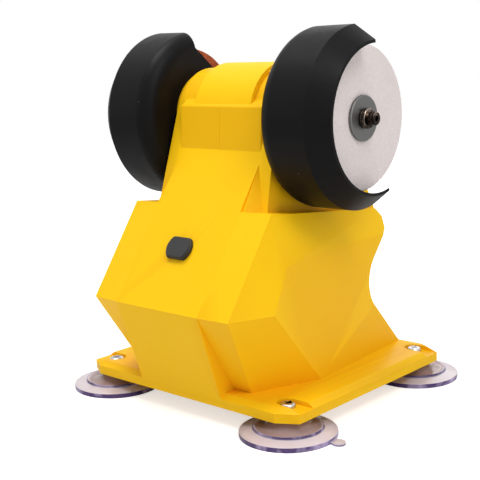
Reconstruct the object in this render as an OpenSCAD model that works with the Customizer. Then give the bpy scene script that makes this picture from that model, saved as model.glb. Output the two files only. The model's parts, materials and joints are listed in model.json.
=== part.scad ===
// Bench sharpener with two grinding wheels, wet guards and suction feet.
// X runs along the wheel shaft, -Y is the front where the user stands, Z is up.
// The cups stand on Z = 0. Left means -X, as the user sees it from the front.

/* [Feet] */
// Diameter of a suction cup
cup_d = 50; // [40:1:54]
// Height of a suction cup under the flange
cup_h = 9.6; // [8:0.1:12]
// Distance between the cup centres across the machine
cup_pitch_x = 128; // [116:1:134]
// Distance between the cup centres from front to back
cup_pitch_y = 116; // [106:1:122]
// Offset of the foot flange's centre towards the back
stance_y = -1.1; // [-5:0.1:5]
// Thickness of a cup's rim
cup_rim_t = 1.6; // [1:0.1:2.4]
// Radius of the raised ring on a cup
cup_ring_r = 17.5; // [14:0.5:20]
// Radius of a cup's stem under the flange
cup_stem_r = 7; // [6:0.5:9]
// Length of a cup's pull tab beyond the rim
tab_l = 6; // [3:0.5:8]
// Width of a cup's pull tab
tab_w = 8; // [5:0.5:12]

/* [Flange] */
// Width of the foot flange
flange_w = 152; // [146:1:164]
// Depth of the foot flange
flange_d = 140; // [136:1:150]
// Thickness of the foot flange
flange_t = 7.2; // [6:0.1:9]
// Corner cut of the flange along X
corner_x = 11; // [8:0.5:14]
// Corner cut of the flange along Y
corner_y = 6.5; // [5:0.5:10]
// Height of the flange's upright edge under its bevel
flange_edge = 4.8; // [3:0.1:6]
// Width of the bevel on the flange's top
bevel_w = 3.4; // [1:0.1:5]
// Width of the screw slot in each flange corner
slot_w = 11; // [9.8:0.2:13]

/* [Base body] */
// Wall thickness of the housing
wall = 2.4; // [1.8:0.1:3]
// Height of the belt, the widest line of the back
belt_z = 60.4; // [56:0.5:66]
// Distance from the origin to the back of the belt
belt_y = 84; // [80:0.5:88]
// Half width of the belt's middle face
belt_in = 28.6; // [27:0.2:30]
// Half width of the belt at its outer corners
belt_out = 48.8; // [45:0.2:52]
// How far the belt's outer corners lie in front of its middle
belt_step = 1.7; // [0.5:0.1:3]
// Distance from the origin to the belt's side corners
belt_side_y = 58.2; // [54:0.5:62]
// Half width of the body at its side corners
side_x = 58.2; // [56:0.2:60]
// Half width of the body's foot at the same corners
foot_x = 55.4; // [53:0.2:57]
// Distance from the origin to the foot's side corners
foot_side_y = 16.4; // [12:0.5:22]
// Distance from the origin to the back corners of the foot
foot_back_y = 55.5; // [50:0.5:60]
// Half width of the foot at its back corners
foot_back_x = 45.5; // [42:0.5:49]
// Narrowing of the sides towards the front, per millimetre
side_taper = 0.085; // [0.06:0.005:0.11]
// Height of the shoulder at its back edge
shoulder_z = 108.4; // [104:0.5:112]
// Distance from the origin to the shoulder's back edge
shoulder_y = 48.3; // [45:0.5:52]
// Half width of the shoulder's back edge
shoulder_x = 48.9; // [46:0.2:52]
// Fall of the shoulder towards the front, in degrees
shoulder_fall = 6; // [2:0.5:9]
// Height of the crease along the sides
crease_z = 82.5; // [78:0.5:88]
// Distance from the origin to the nose of the front
nose_y = 54.6; // [52:0.2:58]
// Edge cut along the top of the nose
nose_cut = 4.5; // [2:0.5:7]
// Height of the waist in the front
waist_z = 57.9; // [54:0.5:62]
// Distance from the origin to the waist
waist_y = 34; // [31:0.2:38]
// Radius of the waist
waist_r = 19.3; // [14:0.5:24]
// Slope of the front above and below the waist, in degrees
waist_slope = 45; // [40:1:48]

/* [Neck] */
// Height of the wheel shaft above the ground
axle_z = 153.2; // [148:0.5:160]
// Distance of the wheel shaft behind the origin
axle_y = 0.5; // [-2:0.1:3]
// Radius of the round top of the neck
hub_r = 26.3; // [26:0.1:30]
// Half width of the neck at the height of the shaft
neck_x = 35.9; // [35:0.1:38]
// Widening of the neck towards its foot, in degrees
neck_draft = 4.4; // [2:0.2:6]
// Lean of the neck's back face, in degrees
neck_back = 15; // [12:0.5:18]
// Lean of the neck's front panel, in degrees
neck_front = 24.5; // [22:0.5:26]
// Depth of the side recess in the neck
recess_d = 1.2; // [0.5:0.1:1.6]
// Width of the neck's face behind the side recess
recess_edge = 8.6; // [6:0.2:11]
// Half width of the spine that runs down the back
spine_x = 29.4; // [28:0.2:31]
// Height where the sloped spine meets the upright band
band_z = 137.6; // [134:0.2:142]
// Height of the upright band's top edge
band_top_z = 161; // [158:0.5:163]
// Distance from the origin to the upright band
band_y = 28.9; // [27.6:0.1:30]
// Lean of the upright band towards the front at its top
band_lean = 0.8; // [0:0.1:1.5]
// Height of the raised saddle over the neck's round top
saddle_h = 2.8; // [1.5:0.1:3.5]
// Half width of the saddle on the back of the neck
saddle_x = 20; // [16:0.5:24]
// Half width of the saddle's wider pad on top
pad_x = 24.5; // [21:0.5:27]
// Half width of the flat part of the pad
pad_flat_x = 15; // [10:0.5:18]

/* [Wheels] */
// Diameter of a grinding wheel
wheel_d = 75; // [70:1:78]
// Width of a grinding wheel
wheel_w = 20; // [16:0.5:22]
// Diameter of a grinding wheel's bore
wheel_bore = 10; // [8:0.5:12]
// Distance from the centre to a wheel's inner face
wheel_in = 50.3; // [49:0.1:52]
// Edge break on a grinding wheel
wheel_edge = 0.6; // [0.2:0.1:1.5]
// Diameter of the outer washer
washer_d = 23.6; // [20:0.2:28]
// Thickness of the outer washer
washer_t = 1.8; // [1.2:0.1:2.4]
// Diameter of the lock collar
collar_d = 10.6; // [9:0.2:13]
// Thickness of the lock collar
collar_t = 3.3; // [2:0.1:4]
// Diameter of the arbor's flange behind the wheel
arbor_flange_d = 24; // [20:0.5:28]
// Thickness of the arbor's flange
arbor_flange_t = 3; // [2:0.2:4]
// Diameter of the arbor's hub
arbor_hub_d = 13; // [12:0.2:15]

/* [Guards] */
// Outer radius of a guard
guard_r = 47; // [46:0.5:50]
// Wall thickness of a guard
guard_t = 2; // [1.6:0.1:2.6]
// Distance from the centre to a guard's inner plate
guard_in = 38.6; // [38:0.1:40]
// Radius of the round edge between a guard's plate and wall
guard_fillet = 9; // [6:0.5:12]
// Distance from the centre to the crease of a guard's wall
guard_crease = 69.5; // [66:0.5:72]
// Distance from the centre to a guard's lip
guard_lip = 80; // [77:0.5:83]
// Outer radius of a guard's lip
guard_lip_r = 38.9; // [38.2:0.1:42]
// Lean of a guard's front edge, in degrees
guard_cut_lean = 9; // [5:0.5:13]
// Distance of a guard's front edge in front of the shaft
guard_cut_y = 3; // [0:0.5:8]
// How far the front edge moves back towards the plate, per millimetre
guard_cut_turn = 0.13; // [0:0.01:0.2]
// Radius of a guard's boss round the shaft
guard_boss_r = 25; // [22:0.5:26]
// Slope of the plate's edge from the boss to the wall, in degrees
guard_edge = 39; // [30:1:48]
// Radius of the shaft hole in a guard
guard_hole_r = 7.5; // [7.2:0.1:9]
// Radius of the circle of guard screws
guard_screw_pcr = 16.5; // [14:0.5:19]

/* [Motor] */
// Diameter of the motor
motor_d = 42; // [38:0.5:43]
// Length of the motor's can with its end caps
motor_l = 62; // [58:0.5:63]
// Wall thickness of the motor's can
can_t = 1.5; // [1:0.1:2]
// Thickness of a motor end cap
cap_t = 2; // [1.6:0.1:3]
// Diameter of the bearing boss on an end cap
motor_boss_d = 17.5; // [15:0.5:20]
// Length of the bearing boss
motor_boss_l = 3.8; // [3:0.1:4]
// Diameter of the motor shaft
shaft_d = 5; // [4:0.1:6]
// Distance from the centre to the shaft's end
shaft_end = 60; // [56:0.5:63]
// Outer diameter of a shaft bush
bush_d = 11; // [9:0.5:13]
// Thickness of the motor's magnets
magnet_t = 2.9; // [2:0.1:4]
// Length of the armature's core
armature_l = 30; // [24:0.5:32]
// Diameter of the commutator
commutator_d = 12; // [10:0.5:14]
// Length of the commutator
commutator_l = 9; // [7:0.5:10]
// Running clearance round the shaft
run_gap = 0.03; // [0.02:0.01:0.08]

/* [Controls] */
// Diameter of the speed knob
knob_d = 26; // [20:0.5:30]
// Height of the speed knob
knob_h = 14; // [10:0.5:18]
// Height of the speed knob's centre above the ground
knob_z = 117; // [112:0.5:124]
// Gap between the knob's skirt and the panel
knob_gap = 0.6; // [0.3:0.1:1.5]
// Diameter of the potentiometer
pot_d = 16; // [12:0.5:20]
// Diameter of the potentiometer's bush
pot_bush_d = 7; // [6:0.5:9]
// Diameter of the potentiometer's shaft
pot_shaft_d = 5; // [4:0.5:5.5]
// Width of the rubber plug over the power socket
plug_w = 16.4; // [13:0.2:19]
// Height of the rubber plug between its flats
plug_h = 12.2; // [10:0.2:14]
// Thickness of the rubber plug's cap
plug_t = 3; // [2:0.2:4]
// Height of the power socket's centre above the ground
socket_z = 88.6; // [82:0.1:96]
// Diameter of the power socket's nose
socket_d = 9; // [8:0.2:9.6]
// Diameter of the hole in the power socket
socket_hole_d = 5.6; // [5:0.1:6.5]
// Length of the control board
board_l = 60; // [50:1:68]
// Depth of the control board
board_w = 42; // [34:1:50]
// Height of the posts that carry the control board
board_post = 8; // [6:0.5:14]

/* [Fasteners] */
// Diameter of the housing screws
screw_d = 3; // [2.6:0.1:3.4]
// Diameter of the bosses for the housing screws
boss_d = 8; // [7:0.2:9.5]
// Diameter of the screw heads
head_d = 5.8; // [5.2:0.1:6.4]
// Height of the screw heads
head_h = 2.2; // [1.6:0.1:2.6]
// Diameter of the cup screws' pan heads
pan_d = 8; // [7:0.2:9]
// Height of the cup screws' pan heads
pan_h = 2.4; // [2:0.1:2.9]
// Clearance round a screw
screw_gap = 0.05; // [0.02:0.01:0.15]
// Clearance round a screw's head
head_gap = 0.4; // [0.2:0.1:0.8]

/* [Hidden] */
$fn = 96;
EPS = 0.01;
BIG = 400;

flange_z = cup_h;
flange_top = flange_z + flange_t;
edge_z = flange_z + flange_edge;
hub = [axle_y, axle_z];

// Corner points of the right half of the base body
p_belt_in = [belt_in, belt_y, belt_z];
p_belt_out = [belt_out, belt_y - belt_step, belt_z];
p_belt_side = [side_x, belt_side_y, belt_z];
p_shoulder = [shoulder_x, shoulder_y, shoulder_z];
p_foot_back = [foot_back_x, foot_back_y, edge_z];
p_foot_side = [foot_x, foot_side_y, edge_z];
p_foot_front = [foot_x - side_taper * BIG, foot_side_y - BIG, edge_z];
core = [0, 0, (belt_z + edge_z) / 2];

function unit(v) = v / norm(v);
function facing_out(a, b, c) =
    let (n = unit(cross(b - a, c - a))) n * (a - core) < 0 ? -n : n;

strip_n = facing_out(p_belt_in, p_belt_out, p_shoulder);
quad_n = facing_out(p_belt_out, p_shoulder, p_belt_side);
side_n = facing_out(p_foot_side, p_belt_side, p_foot_front);
corner_n = facing_out(p_belt_out, p_belt_side, p_foot_side);
lower_n = facing_out(p_belt_in, p_belt_out, p_foot_back);

// The crease line on the side plane, and the face that leans in above it
function side_at(y, z) =
    p_belt_side[0] - (side_n[1] * (y - belt_side_y) + side_n[2] * (z - belt_z)) / side_n[0];
crease_back = [side_at(shoulder_y - 4, crease_z), shoulder_y - 4, crease_z];
crease_front = [side_at(-nose_y, crease_z), -nose_y, crease_z];
upper_n = facing_out(p_shoulder, crease_back, crease_front);

shoulder_n = [0, -sin(shoulder_fall), cos(shoulder_fall)];
nose_top_z = shoulder_z - (shoulder_y + nose_y) * tan(shoulder_fall);

// Outline of the spine, from the flange up the back to the neck's round top
spine_foot_y = flange_d / 2 + stance_y;
spine_slope = atan2(belt_y - band_y, band_z - belt_z);
back_n = [0, cos(spine_slope), sin(spine_slope)];
foot_n = unit([0, belt_z - edge_z, spine_foot_y - belt_y]);
spine_step = 0.05;
waist_steps = 18;
neck_steps = 48;
saddle_r = hub_r + saddle_h;

// Front panel of the neck
panel_n = [-cos(neck_front), sin(neck_front)];
panel_run = [-sin(neck_front), -cos(neck_front)];
panel_tangent = hub + hub_r * panel_n;

// Places on the wheel shaft, measured from the centre
wheel_out = wheel_in + wheel_w;
washer_out = wheel_out + washer_t;
collar_out = washer_out + collar_t;
arbor_in = guard_in + guard_t + 1;
guard_out = guard_in + guard_t;
cap_screw_d = 4;
cap_head_d = 7;
cap_head_h = 4;
motor_end = motor_l / 2;
magnet_r = motor_d / 2 - can_t - magnet_t;
armature_d = 2 * (magnet_r - 0.6);
motor_boss_end = motor_end + motor_boss_l;
housing_end = guard_in;
armature_x = -3;
commutator_x = armature_x + armature_l / 2 + 4;

// Screw places: [y, z] in the housing, [x, y] in the bottom cover and flange
housing_screw_spots = [[axle_y + 19, 119], [axle_y - 21, 121], [64, belt_z + 3], [40, 26],
                       [-47, 26], [-40, 88]];
screw_grip = 8;
cover_half_w = 47;
cover_front = -59;
cover_back = 46;
cover_t = 2.2;
cover_screw_spots = [[41, cover_front + 6], [31, cover_back - 5]];
cover_lip = 10;
cup_spots = [for (sx = [-1, 1], sy = [-1, 1])
    [sx * cup_pitch_x / 2, stance_y + sy * cup_pitch_y / 2]];
board_z = flange_z + cover_t + board_post;
board_y = -8;
board_t = 1.6;
board_holes = [for (sx = [-1, 1], sy = [-1, 1])
    [sx * (board_l / 2 - 4), board_y + sy * (board_w / 2 - 4)]];

yellow = [0.98, 0.78, 0.09];
black = [0.11, 0.11, 0.12];
steel = [0.66, 0.67, 0.69];
dark_steel = [0.22, 0.2, 0.19];
copper = [0.78, 0.45, 0.25];

// ---------- helpers ----------

// Everything on the inner side of a plane, moved in by inset
module half_space(p, n, inset = 0) {
    u = unit(n);
    translate(p - inset * u)
        rotate([0, acos(u[2]), atan2(u[1], u[0])])
            translate([-BIG, -BIG, -2 * BIG])
                cube(2 * BIG);
}

// A shape drawn in the Y-Z plane, extruded along X
module along_x(x0, x1) {
    translate([x0, 0, 0])
        rotate([90, 0, 90])
            linear_extrude(x1 - x0)
                children();
}

// A round bar along the wheel shaft
module shaft_bar(x0, x1, r) {
    along_x(x0, x1)
        translate(hub)
            circle(r);
}

// A ring along the wheel shaft
module shaft_ring(x0, x1, r_out, r_in) {
    along_x(x0, x1)
        translate(hub)
            difference() {
                circle(r_out);
                circle(r_in);
            }
}

// A profile of [radius, distance from the centre] turned round the shaft on the right side
module shaft_turned(profile) {
    translate([0, axle_y, axle_z])
        rotate([0, 90, 0])
            rotate_extrude()
                polygon(profile);
}

// Puts a right-hand piece on the named side: 1 is right, -1 is left
module on_side(side) {
    mirror([side < 0 ? 1 : 0, 0, 0])
        children();
}

// Local frame on the front panel: origin on the surface, +Z out of it
module on_panel() {
    t = (panel_tangent[1] - knob_z) / cos(neck_front);
    spot = panel_tangent + t * panel_run;
    translate([0, spot[0], spot[1]])
        rotate([90 - neck_front, 0, 0])
            children();
}

// Local frame on the spine's sloped back at the power socket, +Z out of it
module on_back() {
    translate([0, belt_y - (socket_z - belt_z) * tan(spine_slope), socket_z])
        rotate([spine_slope - 90, 0, 0])
            children();
}

// Points on an arc, for outlines
function arc(c, r, a0, a1, steps) =
    [for (i = [0:steps]) c + r * [cos(a0 + (a1 - a0) * i / steps), sin(a0 + (a1 - a0) * i / steps)]];

// ---------- outer form of the housing, right half ----------

// The hollow in the front, as seen from the side
module waist_outline(inset) {
    half_a = 90 - waist_slope;
    round_part = arc([0, 0], waist_r + inset, -half_a, half_a, waist_steps);
    translate([-waist_y - waist_r, waist_z])
        polygon(concat(
            [round_part[0] + BIG * [-sin(half_a), -cos(half_a)]],
            round_part,
            [round_part[waist_steps] + BIG * [-sin(half_a), cos(half_a)]]));
}

module base_form(inset) {
    difference() {
        intersection() {
            half_space(p_belt_out, strip_n, inset);
            half_space(p_belt_out, quad_n, inset);
            half_space(p_belt_side, side_n, inset);
            half_space(p_shoulder, upper_n, inset);
            half_space(p_belt_side, corner_n, inset);
            half_space(p_belt_out, lower_n, inset);
            half_space(p_shoulder, shoulder_n, inset);
            half_space([0, belt_y - spine_step, belt_z], back_n, inset);
            half_space([0, belt_y - spine_step, belt_z], foot_n, inset);
            difference() {
                half_space([0, -nose_y - waist_r, 0], [0, -1, 0], inset);
                translate([-BIG, -nose_y + inset - BIG, waist_z])
                    cube([2 * BIG, BIG, BIG]);
            }
            half_space([0, -nose_y, nose_top_z - nose_cut], [0, -1, 1], inset);
            translate([-inset, -BIG, inset > 0 ? flange_z + cover_t + 1 : flange_z + 1])
                cube(2 * BIG);
        }
        along_x(-BIG, BIG)
            waist_outline(inset);
    }
}

module neck_outline(inset) {
    r = hub_r - inset;
    low_z = nose_top_z - 9;
    round_part = arc(hub, r, neck_back, 180 - neck_front, neck_steps);
    front = round_part[neck_steps];
    polygon(concat(
        round_part,
        [front + (front[1] - nose_top_z) / cos(neck_front) * panel_run,
         [-nose_y + 12, low_z],
         round_part[0] + (round_part[0][1] - low_z) / cos(neck_back) * [sin(neck_back), -cos(neck_back)]]));
}

module neck_form(inset) {
    intersection() {
        along_x(inset > 0 ? -1 : 0, BIG)
            neck_outline(inset);
        half_space([neck_x, 0, axle_z], [cos(neck_draft), 0, sin(neck_draft)], inset);
    }
}

module spine_outline(inset) {
    lean = [band_y - band_lean - inset, band_top_z];
    polygon([
        [0, flange_z + (inset > 0 ? cover_t + 1 : 0)],
        [spine_foot_y - inset, flange_z + (inset > 0 ? cover_t + 1 : 0)],
        [spine_foot_y - inset, edge_z],
        [belt_y - inset * 1.2, belt_z],
        [band_y - inset, band_z - inset * 0.4],
        lean,
        [hub[0] + (hub_r - 1 - inset) * cos(24), hub[1] + (hub_r - 1 - inset) * sin(24)],
        [0, axle_z]
    ]);
}

module spine_form(inset) {
    along_x(inset > 0 ? -1 : 0, spine_x - inset)
        spine_outline(inset);
}

// Raised saddle over the neck's round top, with a wider pad on the very top
module saddle_form() {
    along_x(0, saddle_x)
        intersection() {
            translate(hub)
                circle(saddle_r);
            polygon([hub, hub + BIG * [cos(16), sin(16)], hub + BIG * [0, 1],
                     hub + BIG * [cos(118), sin(118)]]);
        }
    intersection() {
        shaft_turned([[0, 0], [saddle_r, 0], [saddle_r, pad_flat_x], [hub_r - EPS, pad_x], [0, pad_x]]);
        along_x(0, BIG)
            polygon([hub, hub + BIG * [cos(62), sin(62)], hub + BIG * [cos(118), sin(118)]]);
    }
}

// Sloped web between the spine's edge and the neck's back face
module spine_flare() {
    apex_y = belt_y - (band_z - 5 - belt_z) * tan(spine_slope);
    edge_y = belt_y - (shoulder_z - belt_z) * tan(spine_slope);
    polyhedron(
        points = [[spine_x - 0.5, apex_y - 0.5, band_z - 5],
                  [spine_x + 2.5, edge_y - 0.3, shoulder_z - 0.5],
                  [spine_x + 8.2, edge_y - 10.5, shoulder_z - 1.5],
                  [spine_x - 2, edge_y - 18, shoulder_z - 3],
                  [spine_x - 2, edge_y - 1, shoulder_z - 3]],
        faces = [[0, 1, 2], [0, 2, 3], [0, 4, 1], [0, 3, 4], [1, 4, 3], [1, 3, 2]]);
}

module flange_outline() {
    hx = flange_w / 2;
    hy = flange_d / 2;
    translate([0, stance_y])
        polygon([[0, -hy], [hx - corner_x, -hy], [hx, -hy + corner_y],
                 [hx, hy - corner_y], [hx - corner_x, hy], [0, hy]]);
}

module flange_form() {
    hx = flange_w / 2;
    hy = flange_d / 2;
    rise = bevel_w / (flange_t - flange_edge);
    cut = [corner_y, corner_x, 0] / norm([corner_y, corner_x]);
    intersection() {
        translate([0, 0, flange_z])
            linear_extrude(flange_t)
                flange_outline();
        half_space([hx, 0, edge_z], [1, 0, rise]);
        half_space([0, stance_y + hy, edge_z], [0, 1, rise]);
        half_space([0, stance_y - hy, edge_z], [0, -1, rise]);
        half_space([hx, stance_y + hy - corner_y, edge_z], cut + [0, 0, rise]);
        half_space([hx, stance_y - hy + corner_y, edge_z], [cut[0], -cut[1], rise]);
    }
}

// Open slot round each cup screw, running out through the flange's side
module corner_slots() {
    for (sy = [-1, 1])
        translate([cup_pitch_x / 2, stance_y + sy * cup_pitch_y / 2, edge_z]) {
            cylinder(h = flange_t, d = slot_w);
            translate([0, -slot_w / 2, 0])
                cube([BIG / 10, slot_w, flange_t]);
        }
}

module outer_form() {
    base_form(0);
    difference() {
        neck_form(0);
        neck_recess();
    }
    spine_form(0);
    saddle_form();
    spine_flare();
    flange_form();
    shaft_bar(neck_x - 3, housing_end, guard_boss_r - 1);
}

module cavity() {
    base_form(wall);
    neck_form(wall);
    spine_form(wall);
}

// ---------- housing ----------

module neck_recess() {
    difference() {
        along_x(0, BIG)
            neck_outline(recess_edge);
        half_space([neck_x, 0, axle_z], [cos(neck_draft), 0, sin(neck_draft)], recess_d);
        half_space(p_shoulder, shoulder_n);
    }
}

module housing_bosses() {
    for (spot = housing_screw_spots)
        along_x(0, BIG)
            translate(spot)
                circle(d = boss_d);
}

module motor_cradle() {
    shaft_ring(10, housing_end, motor_d / 2 + 3, motor_d / 2 + 0.05);
    shaft_ring(motor_end + 0.05, housing_end, motor_d / 2 + 3, motor_boss_d / 2 + 0.05);
    shaft_ring(motor_boss_end + 0.05, housing_end, motor_boss_d / 2 + 1, arbor_hub_d / 2 - 1);
}

module cover_bosses() {
    for (spot = cover_screw_spots)
        translate([spot[0], spot[1], flange_z])
            cylinder(h = 12, d = boss_d);
}

module bottom_opening() {
    translate([-1, cover_front, flange_z - EPS])
        cube([cover_half_w + 1, cover_back - cover_front, cover_t + EPS]);
    translate([-1, cover_front + cover_lip, flange_z])
        cube([cover_half_w - cover_lip + 1, cover_back - cover_front - 2 * cover_lip, flange_t]);
}

module guard_screw_holes(r, x0, x1) {
    for (a = [90, 210, 330])
        along_x(x0, x1)
            translate(hub + guard_screw_pcr * [cos(a), sin(a)])
                circle(r);
}

// Right half of the housing without its screw bores
module housing_half() {
    difference() {
        outer_form();
        difference() {
            cavity();
            housing_bosses();
            motor_cradle();
            cover_bosses();
        }
        shaft_bar(-1, motor_end + 0.05, motor_d / 2 + 0.05);
        shaft_bar(-1, motor_boss_end + 0.05, motor_boss_d / 2 + 0.05);
        shaft_bar(-1, BIG, arbor_hub_d / 2 - 1);
        corner_slots();
        bottom_opening();
        guard_screw_holes(screw_d / 2 + screw_gap, motor_end + 0.6, BIG);
        for (spot = cover_screw_spots)
            translate([spot[0], spot[1], flange_z])
                cylinder(h = 9, d = screw_d + 2 * screw_gap);
        for (sy = [-1, 1])
            translate([cup_pitch_x / 2, stance_y + sy * cup_pitch_y / 2, 0])
                cylinder(h = BIG / 10, d = screw_d + 2 * screw_gap);
        on_panel()
            translate([EPS, 0, -wall - 2])
                cylinder(h = 10, d = pot_bush_d + 0.1);
        on_back()
            translate([EPS, 0, -wall - 2])
                cylinder(h = 10, d = socket_d + 0.1);
    }
}

module left_housing() {
    color(yellow)
        difference() {
            on_side(-1)
                housing_half();
            for (spot = housing_screw_spots)
                along_x(-screw_grip - 1, 1)
                    translate(spot)
                        circle(screw_d / 2 + screw_gap);
        }
}

module right_housing() {
    color(yellow)
        difference() {
            housing_half();
            for (spot = housing_screw_spots) {
                along_x(-1, BIG)
                    translate(spot)
                        circle(screw_d / 2 + screw_gap);
                along_x(screw_grip, BIG)
                    translate(spot)
                        circle(head_d / 2 + head_gap);
            }
        }
}

module bottom_cover() {
    color(black)
        difference() {
            union() {
                translate([-cover_half_w + 0.3, cover_front + 0.3, flange_z])
                    cube([2 * cover_half_w - 0.6, cover_back - cover_front - 0.6, cover_t]);
                for (p = board_holes)
                    translate([p[0], p[1], flange_z])
                        cylinder(h = board_z - flange_z, d = 6);
            }
            for (sx = [-1, 1], spot = cover_screw_spots)
                translate([sx * spot[0], spot[1], flange_z - 1])
                    cylinder(h = 5, d = screw_d + 2 * screw_gap);
            for (p = board_holes)
                translate([p[0], p[1], flange_z + 1])
                    cylinder(h = BIG / 10, d = 2.5 + 2 * screw_gap);
            for (i = [-3:3])
                translate([i * 7 - 1.2, board_y + board_w / 2 + 8, flange_z - 1])
                    cube([2.4, 14, cover_t + 2]);
        }
}

// ---------- fasteners ----------

// A pan-head screw standing on Z = 0 under its head, with a cross in the head
module pan_screw(d, length, hd, hh) {
    difference() {
        union() {
            rotate_extrude()
                polygon(concat([[0, 0], [hd / 2, 0], [hd / 2, hh * 0.4]],
                               [for (a = [15:15:90]) [hd / 2 - hh * 0.6 + hh * 0.6 * cos(a),
                                                      hh * 0.4 + hh * 0.6 * sin(a)]],
                               [[0, hh]]));
            translate([0, 0, -length])
                cylinder(h = length, d = d);
        }
        for (a = [0, 90])
            rotate(a)
                translate([-hd * 0.3, -0.4, hh * 0.45])
                    cube([hd * 0.6, 0.8, hh]);
    }
}

module housing_screws() {
    color(steel)
        for (spot = housing_screw_spots)
            translate([screw_grip, spot[0], spot[1]])
                rotate([0, 90, 0])
                    pan_screw(screw_d, 2 * screw_grip, head_d, head_h);
}

module cover_screws() {
    color(steel)
        for (sx = [-1, 1], spot = cover_screw_spots)
            translate([sx * spot[0], spot[1], flange_z])
                rotate([180, 0, 0])
                    pan_screw(screw_d, 8, head_d, head_h);
}

module guard_screws() {
    color(steel)
        for (side = [-1, 1], a = [90, 210, 330])
            on_side(side)
                translate([guard_out, axle_y + guard_screw_pcr * cos(a), axle_z + guard_screw_pcr * sin(a)])
                    rotate([0, 90, 0])
                        pan_screw(screw_d, guard_out - motor_end - 1, head_d, head_h);
}

module cup_screws() {
    color(steel)
        for (p = cup_spots)
            translate([p[0], p[1], edge_z])
                pan_screw(screw_d, flange_edge + 4.5, pan_d, pan_h);
}

module board_screws() {
    color(steel)
        for (p = board_holes)
            translate([p[0], p[1], board_z + board_t])
                pan_screw(2.5, board_t + 6, 4.6, 1.6);
}

// ---------- suction cups ----------

// Outline of a cup: [radius, height], a thin rim, a raised ring and a stem
function cup_profile() = concat(
    [[0, cup_h - 3.4]],
    [[cup_stem_r, cup_h - 4.2], [cup_ring_r - 3, 2.2], [cup_d / 2 - 3, 0], [cup_d / 2 - 0.4, 0]],
    arc([cup_d / 2 - 0.6, cup_rim_t / 2], cup_rim_t / 2 - 0.1, -60, 90, 4),
    [[cup_ring_r + 1.2, cup_rim_t + 1.3], [cup_ring_r + 0.8, cup_rim_t + 2], [cup_ring_r - 0.6, cup_rim_t + 2.1],
     [cup_stem_r + 2.5, cup_h - 2.2], [cup_stem_r, cup_h - 1.2], [cup_stem_r, cup_h], [0, cup_h]]);

module suction_cup(spot, turn) {
    color([0.8, 0.7, 0.74])
        translate(spot)
            difference() {
                union() {
                    rotate_extrude()
                        polygon(cup_profile());
                    rotate(turn)
                        translate([cup_d / 2 - 2, 0, cup_rim_t * 0.25])
                            linear_extrude(cup_rim_t * 0.6) {
                                translate([0, -tab_w / 2])
                                    square([tab_l + 2 - tab_w / 2 + 1.5, tab_w]);
                                translate([tab_l - 1, 0])
                                    intersection() {
                                        circle(d = tab_w);
                                        square([BIG, BIG], center = true);
                                    }
                            }
                }
                translate([0, 0, cup_h - 5 + EPS])
                    cylinder(h = 6, d = screw_d + 2 * screw_gap);
            }
}

module front_left_cup() { suction_cup(cup_spots[0], 30); }
module back_left_cup() { suction_cup(cup_spots[1], 188); }
module front_right_cup() { suction_cup(cup_spots[2], 8); }
module back_right_cup() { suction_cup(cup_spots[3], -42); }

// ---------- guards ----------

// Section of a guard: the outer line if t is 0, the inner line if t is the wall
function guard_profile(t) =
    let (fillet = arc([guard_r - guard_fillet, guard_in + guard_fillet], guard_fillet - t, -90, 0, 8))
    concat([[0, guard_in + t]], fillet,
           [[guard_r - t, guard_crease], [guard_lip_r - t * 0.8, guard_lip]], [[0, guard_lip]]);

// Where the plate's sloped edge, which touches the boss, crosses a height above the shaft
function plate_edge_at(rise) = (rise * cos(guard_edge) - guard_boss_r) / sin(guard_edge);

// Outline of the plate where it reaches forward round the shaft
module guard_plate_view() {
    edge_a = 90 + guard_edge;
    rise = guard_r - guard_fillet;
    translate(hub) {
        circle(guard_boss_r);
        polygon([[plate_edge_at(rise), rise], guard_boss_r * [cos(edge_a), sin(edge_a)],
                 guard_boss_r * [cos(edge_a), -sin(edge_a)], [plate_edge_at(rise), -rise], [rise, 0]]);
    }
}

module guard() {
    color(black)
        difference() {
            intersection() {
                difference() {
                    shaft_turned(guard_profile(0));
                    shaft_turned(concat(guard_profile(guard_t), [[0, BIG]]));
                }
                union() {
                    half_space([guard_crease, axle_y - guard_cut_y, axle_z],
                               [-guard_cut_turn, -1, tan(guard_cut_lean)]);
                    along_x(0, guard_in + guard_t)
                        guard_plate_view();
                }
            }
            shaft_bar(0, BIG, guard_hole_r);
            guard_screw_holes(screw_d / 2 + screw_gap, 0, BIG);
        }
}

module left_guard() { on_side(-1) guard(); }
module right_guard() { guard(); }

// ---------- wheels and what clamps them ----------

module wheel(tint) {
    color(tint)
        shaft_turned([[wheel_bore / 2 + 0.05, wheel_in], [wheel_d / 2 - wheel_edge, wheel_in],
                      [wheel_d / 2, wheel_in + wheel_edge], [wheel_d / 2, wheel_out - wheel_edge],
                      [wheel_d / 2 - wheel_edge, wheel_out], [wheel_bore / 2 + 0.05, wheel_out]]);
}

module left_wheel() { on_side(-1) wheel([0.86, 0.81, 0.79]); }
module right_wheel() { wheel([0.62, 0.22, 0.14]); }

// Arbor on the motor shaft: hub, flange and the spigot that the wheel sits on
module arbor() {
    color(steel)
        difference() {
            shaft_turned([[0, arbor_in], [arbor_hub_d / 2, arbor_in],
                          [arbor_hub_d / 2, wheel_in - arbor_flange_t],
                          [arbor_flange_d / 2, wheel_in - arbor_flange_t], [arbor_flange_d / 2, wheel_in],
                          [wheel_bore / 2, wheel_in], [wheel_bore / 2, wheel_out - 0.5],
                          [0, wheel_out - 0.5]]);
            shaft_bar(0, shaft_end + 0.2, shaft_d / 2);
            shaft_bar(0, BIG, cap_screw_d / 2 + screw_gap);
            translate([arbor_in + 3, axle_y, axle_z])
                cylinder(h = BIG / 10, d = 3 + 2 * screw_gap);
        }
}

module left_arbor() { on_side(-1) arbor(); }
module right_arbor() { arbor(); }

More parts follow.
